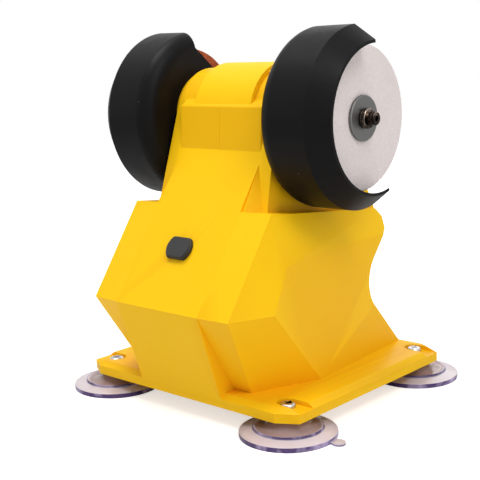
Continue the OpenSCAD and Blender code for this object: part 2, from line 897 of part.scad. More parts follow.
module arbor_set_screws() {
    color(dark_steel)
        for (side = [-1, 1])
            on_side(side)
                translate([arbor_in + 3, axle_y, axle_z + shaft_d / 2 + 0.02])
                    difference() {
                        cylinder(h = arbor_hub_d / 2 - shaft_d / 2 - 0.4, d = 3);
                        translate([0, 0, 2])
                            cylinder(h = 3, d = 1.5, $fn = 6);
                    }
}

module outer_washer() {
    color(steel)
        shaft_turned([[cap_screw_d / 2 + 0.1, wheel_out], [washer_d / 2 - 0.3, wheel_out],
                      [washer_d / 2, wheel_out + 0.3], [washer_d / 2, washer_out - 0.4],
                      [washer_d / 2 - 0.4, washer_out], [cap_screw_d / 2 + 0.1, washer_out]]);
}

module left_washer() { on_side(-1) outer_washer(); }
module right_washer() { outer_washer(); }

module lock_collar() {
    color(dark_steel)
        shaft_turned([[cap_screw_d / 2 + 0.1, washer_out], [collar_d / 2 - 0.3, washer_out],
                      [collar_d / 2, washer_out + 0.3], [collar_d / 2, collar_out - 0.5],
                      [collar_d / 2 - 0.5, collar_out], [cap_screw_d / 2 + 0.1, collar_out]]);
}

module left_collar() { on_side(-1) lock_collar(); }
module right_collar() { lock_collar(); }

// Socket cap screw that holds the wheel stack on the arbor
module cap_screw() {
    color(dark_steel)
        difference() {
            shaft_turned([[0, shaft_end + 1], [cap_screw_d / 2, shaft_end + 1], [cap_screw_d / 2, collar_out],
                          [cap_head_d / 2, collar_out], [cap_head_d / 2, collar_out + cap_head_h - 0.4],
                          [cap_head_d / 2 - 0.4, collar_out + cap_head_h], [0, collar_out + cap_head_h]]);
            along_x(collar_out + cap_head_h - 2.2, BIG)
                translate(hub)
                    circle(d = 3.4, $fn = 6);
        }
}

module left_cap_screw() { on_side(-1) cap_screw(); }
module right_cap_screw() { cap_screw(); }

// Rubber seal in the housing's end wall round the arbor's inner end
module shaft_seal() {
    color(black)
        shaft_ring(motor_boss_end + 0.6, guard_in, arbor_hub_d / 2 - 1, shaft_d / 2 + 0.1);
}

module left_shaft_seal() { on_side(-1) shaft_seal(); }
module right_shaft_seal() { shaft_seal(); }

// ---------- motor ----------

module motor_can() {
    color(steel)
        shaft_ring(-motor_end + cap_t, motor_end - cap_t, motor_d / 2, motor_d / 2 - can_t);
}

module motor_magnets() {
    color([0.2, 0.2, 0.21])
        for (a = [0, 180])
            along_x(armature_x - armature_l / 2 - 2, armature_x + armature_l / 2 + 2)
                translate(hub)
                    rotate(a)
                        intersection() {
                            difference() {
                                circle(motor_d / 2 - can_t);
                                circle(magnet_r);
                            }
                            polygon([[0, 0], BIG * [cos(65), sin(65)], [BIG, 0], BIG * [cos(65), -sin(65)]]);
                        }
}

module motor_cap() {
    difference() {
        union() {
            shaft_bar(motor_end - cap_t, motor_end, motor_d / 2);
            shaft_bar(motor_end - cap_t - 4, motor_boss_end, motor_boss_d / 2);
        }
        shaft_bar(0, BIG, bush_d / 2);
        for (a = [45:90:315])
            along_x(0, BIG)
                translate(hub + motor_d * 0.35 * [cos(a), sin(a)])
                    circle(1.5);
    }
}

module left_motor_cap() { color(steel) on_side(-1) motor_cap(); }
module right_motor_cap() { color(steel) motor_cap(); }

module shaft_bush() {
    color(copper)
        shaft_ring(motor_end - cap_t - 4, motor_boss_end, bush_d / 2, shaft_d / 2 + run_gap);
}

module left_bush() { on_side(-1) shaft_bush(); }
module right_bush() { shaft_bush(); }

module motor_shaft() {
    color(steel)
        shaft_bar(-shaft_end, shaft_end, shaft_d / 2);
}

module armature() {
    color([0.35, 0.36, 0.38])
        along_x(armature_x - armature_l / 2, armature_x + armature_l / 2)
            translate(hub)
                difference() {
                    circle(armature_d / 2);
                    circle(shaft_d / 2);
                    for (i = [0:4])
                        rotate(i * 72) {
                            translate([armature_d / 2 - 3, -1])
                                square([5, 2]);
                            translate([armature_d / 4 + 1.5, 0])
                                circle(3.6);
                        }
                }
}

module armature_windings() {
    color(copper)
        for (end = [-1, 1])
            translate([armature_x + end * (armature_l / 2 + 1.5), axle_y, axle_z])
                rotate([0, 90, 0])
                    rotate_extrude()
                        translate([armature_d / 4 + 1.5, 0])
                            polygon([[-4, -1.5], [4, -1.5], [3, 1.5], [-3, 1.5]]);
}

module commutator() {
    color(copper)
        shaft_ring(commutator_x, commutator_x + commutator_l, commutator_d / 2, shaft_d / 2);
}

brush_x = commutator_x + commutator_l / 2;

module carbon_brushes() {
    color([0.16, 0.16, 0.16])
        for (side = [-1, 1])
            difference() {
                translate([brush_x - 2, axle_y + (side > 0 ? 0 : -13), axle_z - 2])
                    cube([4, 13, 4]);
                shaft_bar(-BIG, BIG, commutator_d / 2 + 0.05);
            }
}

module brush_card() {
    color([0.25, 0.23, 0.2])
        difference() {
            union() {
                shaft_ring(brush_x - 1, brush_x + 1, motor_d / 2 - can_t, commutator_d / 2 + 1);
                for (side = [-1, 1])
                    translate([brush_x - 3.2, axle_y + (side > 0 ? 9 : -16), axle_z - 3.2])
                        cube([6.4, 7, 6.4]);
            }
            translate([brush_x - 2, axle_y - 13, axle_z - 2])
                cube([4, 26, 4]);
        }
}

// ---------- controls ----------

module speed_knob() {
    color(black)
        on_panel()
            translate([0, 0, knob_gap])
                difference() {
                    union() {
                        cylinder(h = 3, d = knob_d);
                        cylinder(h = knob_h, d = knob_d - 4);
                        for (i = [0:17])
                            rotate(i * 20)
                                translate([knob_d / 2 - 2.2, 0, 0])
                                    cylinder(h = knob_h - 1.5, r = 0.8, $fn = 24);
                    }
                    translate([0, 0, -EPS])
                        cylinder(h = knob_h - 7, d = knob_d - 8);
                    cylinder(h = knob_h - 3, d = pot_shaft_d);
                    translate([0, knob_d / 2 - 6, knob_h - 0.6])
                        translate([-0.7, -3, 0])
                            cube([1.4, 6, 2]);
                }
}

module potentiometer() {
    color([0.3, 0.32, 0.3])
        on_panel()
            difference() {
                union() {
                    translate([0, 0, -wall - 8])
                        cylinder(h = 8, d = pot_d);
                    translate([0, 0, -wall])
                        cylinder(h = wall + 3, d = pot_bush_d);
                    translate([-5, -pot_d / 2 - 3, -wall - 4])
                        cube([10, 5, 1.2]);
                }
                translate([0, 0, -wall - 5])
                    cylinder(h = 12, d = pot_shaft_d + 2 * run_gap);
            }
}

module potentiometer_shaft() {
    color(steel)
        on_panel()
            translate([0, 0, -wall - 4.8])
                cylinder(h = wall + 4.8 + knob_gap + knob_h - 3, d = pot_shaft_d);
}

module potentiometer_nut() {
    color(steel)
        on_panel()
            difference() {
                cylinder(h = 2, d = 11.5, $fn = 6);
                translate([0, 0, -1])
                    cylinder(h = 5, d = pot_bush_d);
            }
}

// Two arcs closed by two flats
module double_d(w, h) {
    intersection() {
        circle(d = w);
        square([w + 1, h], center = true);
    }
}

module socket_plug() {
    color(black)
        on_back() {
            linear_extrude(plug_t * 0.7)
                double_d(plug_w, plug_h);
            translate([0, 0, plug_t * 0.7])
                linear_extrude(plug_t * 0.3)
                    double_d(plug_w - 1.2, plug_h - 1.2);
            translate([0, 0, -6])
                cylinder(h = 7, d = socket_hole_d - 0.1);
        }
}

module power_socket() {
    color(black)
        on_back()
            difference() {
                union() {
                    translate([0, 0, -wall])
                        cylinder(h = wall, d = socket_d);
                    translate([-5.5, -5, -wall - 11])
                        cube([11, 10, 11]);
                }
                translate([0, 0, -wall - 9])
                    cylinder(h = 20, d = socket_hole_d);
            }
}

module control_board() {
    color([0.08, 0.35, 0.2])
        difference() {
            translate([-board_l / 2, board_y - board_w / 2, board_z])
                cube([board_l, board_w, board_t]);
            for (p = board_holes)
                translate([p[0], p[1], board_z - 1])
                    cylinder(h = board_t + 2, d = 2.5 + 2 * screw_gap);
        }
}

module board_parts() {
    top = board_z + board_t;
    color([0.15, 0.15, 0.2])
        translate([-18, board_y - 6, top]) {
            cylinder(h = 16, d = 10);
            translate([14, 0, 0])
                cylinder(h = 12, d = 8);
            translate([24, -8, 0])
                cube([10, 4, 18]);
            translate([20, 6, 0])
                cube([12, 10, 8]);
            translate([-4, 11, 0])
                cube([16, 8, 9]);
        }
}

left_housing();
right_housing();
bottom_cover();
housing_screws();
cover_screws();
left_guard();
right_guard();
guard_screws();
front_left_cup();
front_right_cup();
back_left_cup();
back_right_cup();
cup_screws();
left_wheel();
right_wheel();
left_arbor();
right_arbor();
arbor_set_screws();
left_washer();
right_washer();
left_collar();
right_collar();
left_cap_screw();
right_cap_screw();
left_shaft_seal();
right_shaft_seal();
motor_can();
motor_magnets();
left_motor_cap();
right_motor_cap();
left_bush();
right_bush();
motor_shaft();
armature();
armature_windings();
commutator();
carbon_brushes();
brush_card();
speed_knob();
potentiometer();
potentiometer_shaft();
potentiometer_nut();
socket_plug();
power_socket();
control_board();
board_parts();
board_screws();
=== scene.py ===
"""Looks of the bench sharpener: rounded housing and guards, stones, cups, fittings, dial and studio."""
import json
import math
import bpy
from mathutils import Matrix, Vector, noise


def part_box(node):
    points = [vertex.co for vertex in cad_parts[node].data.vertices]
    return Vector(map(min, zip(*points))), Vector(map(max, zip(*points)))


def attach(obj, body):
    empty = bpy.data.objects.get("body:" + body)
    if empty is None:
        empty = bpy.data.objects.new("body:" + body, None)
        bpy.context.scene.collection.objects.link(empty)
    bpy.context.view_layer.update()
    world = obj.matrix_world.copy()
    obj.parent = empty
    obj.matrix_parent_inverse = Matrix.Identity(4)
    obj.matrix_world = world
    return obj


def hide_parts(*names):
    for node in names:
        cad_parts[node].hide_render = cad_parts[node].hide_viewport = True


bl_info = {
    "name": "Bench sharpener looks",
    "version": (1, 0, 0),
    "blender": (4, 5, 0),
    "location": "View3D > Sidebar > Sharpener",
    "description": "Builds the visible pieces and finishes of a two-wheel bench sharpener",
    "category": "Object",
}

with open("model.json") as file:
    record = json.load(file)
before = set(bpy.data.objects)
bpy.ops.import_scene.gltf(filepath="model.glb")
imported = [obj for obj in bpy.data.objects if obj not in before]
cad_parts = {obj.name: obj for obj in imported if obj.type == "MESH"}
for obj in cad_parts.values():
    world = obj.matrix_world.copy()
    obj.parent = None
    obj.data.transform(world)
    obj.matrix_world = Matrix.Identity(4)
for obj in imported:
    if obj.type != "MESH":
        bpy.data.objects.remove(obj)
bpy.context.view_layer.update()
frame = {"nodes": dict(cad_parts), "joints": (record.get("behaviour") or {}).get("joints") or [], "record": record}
NODES = frame["nodes"]
JOINTS = {j["name"]: j for j in frame["joints"]}
SLOT_OF = {p["node"]: p["material_slot"] for p in frame["record"]["subparts"]}
BODY_OF = {n: b for b, ns in frame["record"]["behaviour"]["bodies"].items() for n in ns}
MM = 0.001
MERGE = 0.001 * MM          # points closer than this become one

# Housing: the joint between the halves takes this share of the edge radius.
SEAM_SHARE = 0.14
SEAM_REACH = 0.02 * MM
SMOOTH_ANGLE = 40           # faces meeting at less than this many degrees are shaded as one

# Neck pad: half width in x, then (y, z) of its lip, foot and ledge, and what is sunk in the neck.
PAD_HALF_X = 29.4 * MM
PAD_LIP = (30.2 * MM, 160.2 * MM)
PAD_FOOT = (32.05 * MM, 136.6 * MM)
PAD_LEDGE = (24.6 * MM, 163.6 * MM)
PAD_ROOT_Y = 24.0 * MM
PAD_ROOT_DEPTH = 1.8 * MM
PAD_ROUND = 0.8 * MM
PAD_SEAM_SHARE = 0.3

# Cups: (x, y) of each one's middle, the turn of its pull tab in degrees,
# and the section as (radius, height) in mm, without the stem's top.
CUPS = {
    "front_left_cup": ((-0.064, -0.0591), 30),
    "back_left_cup": ((-0.064, 0.0569), 188),
    "front_right_cup": ((0.064, -0.0591), 8),
    "back_right_cup": ((0.064, 0.0569), -42),
}
CUP_SECTION = (
    (1.6, 4.8), (6.8, 4.9), (10.5, 4.0), (14.5, 2.8), (19.0, 1.5), (21.8, 0.4), (22.4, 0.0),   # underside
    (24.7, 0.0), (24.98, 0.3), (24.98, 2.4), (24.7, 2.7),                                      # rim
    (23.6, 2.8), (20.8, 3.4), (18.5, 3.9),                                                     # skirt
    (18.15, 4.0), (18.05, 4.9), (17.7, 5.25), (17.0, 5.1), (16.2, 4.4),                        # raised ring
    (14.0, 4.5), (11.6, 5.3), (9.4, 6.8), (7.4, 8.2),                                          # dish and stem
)
CUP_BORE_R, CUP_STEM_R = 1.6, 6.7
CUP_RIM_R, CUP_RIM_TOP = 25.0, 2.6
CUP_RING_R, CUP_RING_FOOT = 17.9, 3.9
CUP_DISH_R, CUP_DISH_FADE = 17.3, 1.2
TAB_DISC_R, TAB_THICK = 3.5 * MM, 1.2 * MM
TAB_REACH, TAB_HEIGHT = 28.5 * MM, 1.1 * MM
TAB_WAIST, TAB_ROOT = 1.6 * MM, 2.6 * MM
TAB_ROUND = 0.35 * MM

# Stones, in mm: radius of the worn edge, depth of the grit, and where one stone is chipped most.
STONE_STEPS = 220
STONE_EDGE = 0.9
STONE_GRIT = 0.035
CHIP_REACH = 1.6
WORN_WAY = (0.85, -0.53)
WORN_WIDTH = 110

# Dial: degrees from the panel's right, turning clockwise from 0 to full.
DIAL_START, DIAL_STEP, DIAL_MARKS = 90, 29, 11
MARK_REACH, MARK_LONG, MARK_SHORT, MARK_WIDTH = 15.6 * MM, 2.6 * MM, 1.6 * MM, 0.55 * MM
NUMBER_REACH, NUMBER_SIZE = 21.2 * MM, 4.4 * MM
POINTER_SIZE = (5.4 * MM, 1.1 * MM)
POINTER_REACH, POINTER_LIFT = 7.0 * MM, 14.06 * MM
PRINT_LIFT, PRINT_THICK = 0.03 * MM, 0.04 * MM

# Stage, in metres and watts: lamps as (name, place, size, power), all aimed at the same spot.
LAMPS = (
    ("key", (0.2, 0.2, 1.15), 0.5, 7.2),
    ("high side", (-0.62, 0.22, 0.9), 0.4, 3.2),
    ("low side", (-0.95, 0.3, 0.3), 0.6, 0.9),
    ("front", (0.3, -0.9, 0.6), 0.6, 1.6),
)
LAMP_AIM = Vector((0, 0, 0.1))
AMBIENT = 0.43
FLOOR_SIZE = 12.0
FLOOR_LIFT = 0.6
CAMERA_PLACE = Vector((-0.3673, 0.423, 0.1892))
CAMERA_TURN, CAMERA_TILT, CAMERA_ROLL = 222.214, 11.680, -1.845
CAMERA_LENS, CAMERA_SENSOR = 75.408, 36.0
CAMERA_SHIFT = (-0.0002, 0.0364)


# ---------------------------------------------------------------- properties

class SharpenerProps(bpy.types.PropertyGroup):
    """Colours and sizes of the sharpener that a user would change"""
    yellow: bpy.props.FloatVectorProperty(
        name="Housing colour", description="Colour of the moulded plastic housing",
        size=3, subtype="COLOR", min=0, max=1, default=(0.96, 0.52, 0.006))
    black: bpy.props.FloatVectorProperty(
        name="Guard colour", description="Colour of the satin plastic guards, knob and plug",
        size=3, subtype="COLOR", min=0, max=1, default=(0.0036, 0.0034, 0.0038))
    white_stone: bpy.props.FloatVectorProperty(
        name="White stone", description="Middle colour of the left wheel's grains",
        size=3, subtype="COLOR", min=0, max=1, default=(0.78, 0.7, 0.685))
    brown_stone: bpy.props.FloatVectorProperty(
        name="Brown stone", description="Middle colour of the right wheel's grains",
        size=3, subtype="COLOR", min=0, max=1, default=(0.46, 0.1, 0.036))
    housing_round: bpy.props.FloatProperty(
        name="Housing edge radius", description="Radius on the sharp edges of the housing's halves",
        default=0.9 * MM, min=0, precision=5, unit="LENGTH")
    guard_round: bpy.props.FloatProperty(
        name="Guard edge radius", description="Radius on the sharp edges of the wheel guards",
        default=0.5 * MM, min=0, precision=5, unit="LENGTH")
    metal_round: bpy.props.FloatProperty(
        name="Metal edge radius", description="Radius on the edges of screws; turned fittings take a multiple",
        default=0.15 * MM, min=0, precision=5, unit="LENGTH")
    light: bpy.props.FloatProperty(
        name="Lamp strength", description="Multiplies the power of every lamp of the stage",
        default=1.0, min=0, max=4, subtype="FACTOR")


# ---------------------------------------------------------------- finishes

class Finish:
    """Builds one Principled material. Scales are in features per metre, heights in metres."""

    def __init__(self, name):
        self.mat = bpy.data.materials.new(name)
        self.mat.use_nodes = True
        self.tree = self.mat.node_tree
        self.bsdf = self.tree.nodes["Principled BSDF"]
        self.coord = self.node("ShaderNodeTexCoord").outputs["Object"]

    def node(self, kind, **values):
        n = self.tree.nodes.new(kind)
        for key, value in values.items():
            setattr(n, key, value)
        return n

    def link(self, a, b):
        self.tree.links.new(a, b)

    def set(self, **values):
        """Sets constant values on the shader's own sockets."""
        for key, value in values.items():
            self.bsdf.inputs[key.replace("_", " ")].default_value = value
        return self

    def noise(self, scale, detail=3.0, rough=0.55, stretch=None):
        n = self.node("ShaderNodeTexNoise")
        n.inputs["Scale"].default_value = scale
        n.inputs["Detail"].default_value = detail
        n.inputs["Roughness"].default_value = rough
        source = self.coord
        if stretch:
            m = self.node("ShaderNodeMapping")
            m.inputs["Scale"].default_value = stretch
            self.link(self.coord, m.inputs["Vector"])
            source = m.outputs["Vector"]
        self.link(source, n.inputs["Vector"])
        return n.outputs["Fac"]

    def cells(self, scale):
        """Grain cells: the distance to each cell's middle, and one grey value for each cell."""
        n = self.node("ShaderNodeTexVoronoi")
        n.inputs["Scale"].default_value = scale
        self.link(self.coord, n.inputs["Vector"])
        grey = self.node("ShaderNodeRGBToBW")
        self.link(n.outputs["Color"], grey.inputs["Color"])
        return n.outputs["Distance"], grey.outputs["Val"]

    def ramp(self, fac, stops):
        n = self.node("ShaderNodeValToRGB")
        while len(n.color_ramp.elements) < len(stops):
            n.color_ramp.elements.new(0.5)
        for e, (pos, col) in zip(n.color_ramp.elements, stops):
            e.position = pos
            e.color = (*col, 1) if isinstance(col, (tuple, list)) else (col, col, col, 1)
        self.link(fac, n.inputs["Fac"])
        return n.outputs["Color"]

    def mix(self, fac, a, b, mode="MIX"):
        n = self.node("ShaderNodeMix", data_type="RGBA", blend_type=mode)
        for socket, value in ((n.inputs["Factor"], fac), (n.inputs["A"], a), (n.inputs["B"], b)):
            if hasattr(value, "links"):
                self.link(value, socket)
            elif isinstance(value, (int, float)):
                socket.default_value = value
            else:
                socket.default_value = (*value, 1)
        return n.outputs["Result"]

    def bump(self, height, strength, distance, after=None):
        n = self.node("ShaderNodeBump")
        n.inputs["Strength"].default_value = strength
        n.inputs["Distance"].default_value = distance
        self.link(height, n.inputs["Height"])
        if after is not None:
            self.link(after, n.inputs["Normal"])
        return n.outputs["Normal"]

    def attribute(self, name):
        return self.node("ShaderNodeAttribute", attribute_name=name).outputs["Fac"]

    def color(self, out):
        self.link(out, self.bsdf.inputs["Base Color"])

    def rough(self, out):
        self.link(out, self.bsdf.inputs["Roughness"])

    def normal(self, out):
        self.link(out, self.bsdf.inputs["Normal"])

    def edge_highlight(self, col, wear_and_highlight):
        """Paints a highlight on the convex edges, turning them towards a paler colour."""
        edges = self.ramp(self.node("ShaderNodeNewGeometry").outputs["Pointiness"], [(0.52, 0.0), (0.6, 1.0)])
        return self.mix(edges, col, wear_and_highlight)


def shade(col, k):
    return tuple(min(1.0, c * k) for c in col)


def yellow_plastic(props):
    """Moulded plastic with a fine grain, faint clouds and slightly paler edges, which are a painted highlight."""
    g = Finish("yellow_plastic").set(Specular_IOR_Level=0.1, Subsurface_Weight=0.06, Subsurface_Scale=0.004)
    base = tuple(props.yellow)
    # The paler convex edges are a painted highlight.
    g.color(g.edge_highlight(g.mix(g.noise(14, 4), shade(base, 0.94), shade(base, 1.05)), shade(base, 1.12)))
    g.rough(g.ramp(g.noise(60, 5), [(0.3, 0.38), (0.7, 0.5)]))
    g.normal(g.bump(g.noise(2600, 2), 0.12, 0.00008, g.bump(g.noise(45, 2), 0.05, 0.0006)))
    return g.mat


def black_plastic(props):
    """Near-black satin plastic with a soft grain, a few specks of dust and a painted highlight on its edges."""
    g = Finish("black_plastic").set(Specular_IOR_Level=0.1)
    base = tuple(props.black)
    # clean: the plastic before its dust, with a painted highlight on its convex edges.
    clean = g.edge_highlight(g.mix(g.noise(30, 4), shade(base, 0.75), shade(base, 1.3)), shade(base, 2.0))
    dist, grey = g.cells(170)
    near = g.ramp(dist, [(0.035, 1.0), (0.06, 0.0)])
    few = g.ramp(grey, [(0.78, 0.0), (0.8, 0.7)])
    g.color(g.mix(g.mix(1.0, near, few, "MULTIPLY"), clean, (0.32, 0.32, 0.33)))
    g.rough(g.ramp(g.noise(80, 5), [(0.3, 0.38), (0.7, 0.5)]))
    g.normal(g.bump(g.noise(1800, 2), 0.16, 0.0001))
    return g.mat


def steel(name, col, rough, stretch=None, scale=900):
    """Brushed or cast steel; stretch draws its grain out along an axis."""
    g = Finish(name).set(Metallic=1.0)
    grain = g.noise(scale, 3, 0.6, stretch)
    g.color(g.mix(grain, shade(col, 0.8), shade(col, 1.12)))
    g.rough(g.ramp(grain, [(0.3, max(0.05, rough - 0.08)), (0.7, rough + 0.1)]))
    g.normal(g.bump(grain, 0.12, 0.00005))
    return g.mat


def steel_with_ring_highlights():
    """Oiled dark steel with turned rings; the bright bands in its colour are painted highlights."""
    g = Finish("dark_steel").set(Metallic=1.0)
    rings_and_highlights = g.noise(120, 3, 0.6, (9, 1, 1))
    # The pale end of this ramp is a painted highlight along the rings.
    g.color(g.ramp(rings_and_highlights, [(0.36, (0.011, 0.008, 0.007)), (0.52, (0.05, 0.036, 0.03)), (0.62, (0.3, 0.24, 0.2))]))
    g.rough(g.ramp(rings_and_highlights, [(0.3, 0.34), (0.7, 0.2)]))
    g.normal(g.bump(rings_and_highlights, 0.3, 0.0002))
    return g.mat


def stone(name, col, dark, light, grain=1400):
    """Bonded grit: grains of three tones over faint blotches, dry and rough."""
    g = Finish(name).set(Specular_IOR_Level=0.25, Roughness=0.92)
    dist, grey = g.cells(grain)
    grains = g.ramp(grey, [(0.1, dark), (0.45, col), (0.62, col), (0.95, light)])
    blotch = g.mix(g.noise(55, 5), shade(col, 0.86), shade(col, 1.1))
    g.color(g.mix(0.55, grains, blotch))
    g.normal(g.bump(dist, 0.35, 0.0002, g.bump(g.noise(500, 4), 0.3, 0.0002)))
    return g.mat


def cup_rubber():
    """Clear soft rubber: pale pink on its skirt, violet along its rim with painted highlights, and in its dish a
    painted shade, brown with a painted reflection of the yellow flange.
    """
    g = Finish("cup_rubber").set(Transmission_Weight=0.4, IOR=1.42, Specular_IOR_Level=0.6)
    pale = g.mix(g.noise(70, 4), (0.88, 0.75, 0.8), (0.98, 0.91, 0.97))
    # The brown of the dish is painted shade with a painted reflection of the yellow flange above it.
    dish_shade_and_reflection = g.mix(g.noise(34, 5), (0.34, 0.19, 0.17), (0.76, 0.6, 0.6))
    # The pale patches on the violet rim are painted highlights.
    rim_highlights = g.ramp(g.noise(95, 2), [(0.5, 0.0), (0.66, 1.0)])
    violet_with_highlights = g.mix(rim_highlights, (0.07, 0.035, 0.19), (0.5, 0.42, 0.7))
    g.color(g.mix(g.attribute("rim"), g.mix(g.attribute("dish"), pale, dish_shade_and_reflection), violet_with_highlights))
    g.rough(g.ramp(g.noise(90, 4), [(0.3, 0.1), (0.7, 0.2)]))
    g.normal(g.bump(g.noise(260, 3), 0.14, 0.0003))
    return g.mat


def plain(name, col, rough, metal=0.0):
    """A plain part: faint clouds, uneven gloss and a fine grain."""
    g = Finish(name).set(Metallic=metal, Specular_IOR_Level=0.5)
    g.color(g.mix(g.noise(70, 4), shade(col, 0.8), shade(col, 1.2)))
    g.rough(g.ramp(g.noise(120, 4), [(0.3, rough - 0.06), (0.7, rough + 0.08)]))
    g.normal(g.bump(g.noise(1500, 2), 0.15, 0.0001))
    return g.mat


def copper_winding():
    """Enamelled wire, wound side by side."""
    g = Finish("copper_winding").set(Metallic=0.7, Roughness=0.32)
    w = g.node("ShaderNodeTexWave", wave_type="RINGS", rings_direction="X")
    w.inputs["Scale"].default_value = 700
    g.link(g.coord, w.inputs["Vector"])
    g.color(g.mix(w.outputs["Fac"], (0.25, 0.07, 0.025), (0.7, 0.28, 0.12)))
    g.normal(g.bump(w.outputs["Fac"], 0.6, 0.0003))
    return g.mat


def green_board():
    """Circuit board with tracks under its green lacquer."""
    g = Finish("green_board").set(Specular_IOR_Level=0.5, Roughness=0.35)
    tracks = g.node("ShaderNodeTexBrick")
    tracks.inputs["Scale"].default_value = 160
    for socket, col in (("Color1", (0.015, 0.12, 0.05, 1)), ("Color2", (0.02, 0.16, 0.07, 1)),
                        ("Mortar", (0.05, 0.3, 0.12, 1))):
        tracks.inputs[socket].default_value = col
    g.link(g.coord, tracks.inputs["Vector"])
    g.color(tracks.outputs["Color"])
    g.normal(g.bump(tracks.outputs["Fac"], 0.2, 0.0001))
    return g.mat


MATS = {}


def build_materials(props):
    MATS.update(
        yellow_plastic=yellow_plastic(props),
        black_plastic=black_plastic(props),
        bright_steel=steel("bright_steel", (0.56, 0.56, 0.57), 0.3),
        dark_steel=steel_with_ring_highlights(),
        washer_steel=steel("washer_steel", (0.2, 0.2, 0.195), 0.4, (1, 6, 6), 500),
        cup_rubber=cup_rubber(),
        black_rubber=plain("black_rubber", (0.012, 0.012, 0.012), 0.55),
        white_stone=stone("white_stone", tuple(props.white_stone), (0.68, 0.6, 0.58), (0.88, 0.82, 0.8)),
        brown_stone=stone("brown_stone", tuple(props.brown_stone), (0.16, 0.028, 0.012), (0.78, 0.27, 0.12), 900),
        bronze=plain("bronze", (0.5, 0.3, 0.12), 0.4, metal=1.0),
        copper=plain("copper", (0.62, 0.26, 0.12), 0.28, metal=1.0),
        core_steel=steel("core_steel", (0.28, 0.29, 0.3), 0.42, (40, 1, 1), 60),
        magnet=plain("magnet", (0.035, 0.035, 0.037), 0.6),
        carbon=plain("carbon", (0.02, 0.02, 0.02), 0.7),
        brown_board=plain("brown_board", (0.16, 0.09, 0.04), 0.6),
        green_board=green_board(),
        winding=copper_winding(),
        print_black=plain("print_black", (0.02, 0.02, 0.02), 0.5),
        print_white=plain("print_white", (0.8, 0.8, 0.78), 0.5),
    )


def finish_named(name):
    if name not in MATS:
        raise RuntimeError("No finish %r: the Materials step comes first" % name)
    return MATS[name]


def paint(obj, name):
    obj.data.materials.clear()
    obj.data.materials.append(finish_named(name))


# ---------------------------------------------------------------- modelling helpers

def only(obj):
    """Makes one object the selected and active one."""
    bpy.ops.object.select_all(action="DESELECT")
    obj.select_set(True)
    bpy.context.view_layer.objects.active = obj


def edit(obj):
    """Opens one object in edit mode with all of it selected."""
    only(obj)
    bpy.ops.object.mode_set(mode="EDIT")
    bpy.ops.mesh.select_mode(type="VERT")
    bpy.ops.mesh.select_all(action="SELECT")


def done():
    bpy.ops.object.mode_set(mode="OBJECT")


def pick(obj, parts, test):
    """Opens one object in edit mode with only the points or faces that pass the test selected."""
    edit(obj)
    bpy.ops.mesh.select_all(action="DESELECT")
    done()
    for part in getattr(obj.data, parts):
        part.select = test(part)
    bpy.ops.object.mode_set(mode="EDIT")
    if parts == "polygons":
        bpy.ops.mesh.select_mode(type="FACE")


def move_points(obj, test, way):
    pick(obj, "vertices", lambda v: test(v.co))
    bpy.ops.transform.translate(value=way)
    done()


def pull(way):
    """Extrudes the selected faces along a way."""
    bpy.ops.mesh.extrude_region_move(TRANSFORM_OT_translate={"value": way})


def started(name):
    """Names the primitive that was just added."""
    obj = bpy.context.object
    obj.name = name
    return obj


def link(name, mesh):
    obj = bpy.data.objects.new(name, mesh)
    bpy.context.scene.collection.objects.link(obj)
    return obj


def apply_place(obj):
    """Puts an object's place into its mesh, and the object at the origin."""
    only(obj)
    bpy.ops.object.transform_apply(location=True, rotation=True, scale=True)


def apply_modifiers(obj):
    only(obj)
    for mod in list(obj.modifiers):
        bpy.ops.object.modifier_apply(modifier=mod.name)


def smooth(obj, angle):
    only(obj)
    bpy.ops.object.shade_smooth_by_angle(angle=math.radians(angle))


def rounded(obj, radius, angle, segments=2, seam=1.0):
    """Rounds an object's sharp edges; those on the plane x = 0 take only the seam's share of the radius."""
    edit(obj)
    bpy.ops.mesh.select_mode(type="EDGE")
    bpy.ops.mesh.select_all(action="DESELECT")
    bpy.ops.mesh.edges_select_sharp(sharpness=math.radians(angle))
    done()
    mesh = obj.data
    sharp = [e.select for e in mesh.edges]
    weight = mesh.attributes.new("bevel_weight_edge", "FLOAT", "EDGE")
    for e in mesh.edges:
        if sharp[e.index]:
            split = all(abs(mesh.vertices[v].co.x) < SEAM_REACH for v in e.vertices)
            weight.data[e.index].value = seam if split else 1.0
    mod = obj.modifiers.new("round", "BEVEL")
    mod.width = radius
    mod.segments = segments
    mod.limit_method = "WEIGHT"
    mod.use_clamp_overlap = True
    mod.miter_outer = "MITER_ARC"
    apply_modifiers(obj)
    smooth(obj, SMOOTH_ANGLE)
    mod = obj.modifiers.new("flat faces", "WEIGHTED_NORMAL")
    mod.mode = "FACE_AREA"
    mod.weight = 100
    mod.keep_sharp = True
    apply_modifiers(obj)
    return obj


def copy_of(node, name):
    """A copy of a CAD node's mesh, merged, with its flat faces joined."""
    obj = link(name, NODES[node].data.copy())
    edit(obj)
    bpy.ops.mesh.remove_doubles(threshold=2 * MERGE)
    bpy.ops.mesh.dissolve_limited(angle_limit=math.radians(1.0))
    done()
    return obj


def turned(name, section, steps=128):
    """Spins a closed section of (radius, height) points, in mm, round Z."""
    count = len(section)
    mesh = bpy.data.meshes.new(name)
    mesh.from_pydata([(r * MM, 0.0, z * MM) for r, z in section], [(i, (i + 1) % count) for i in range(count)], [])
    obj = link(name, mesh)
    edit(obj)
    bpy.ops.mesh.spin(steps=steps, angle=2 * math.pi, center=(0, 0, 0), axis=(0, 0, 1))
    bpy.ops.mesh.select_all(action="SELECT")
    bpy.ops.mesh.remove_doubles(threshold=MERGE)
    bpy.ops.mesh.normals_make_consistent(inside=False)
    done()
    return obj


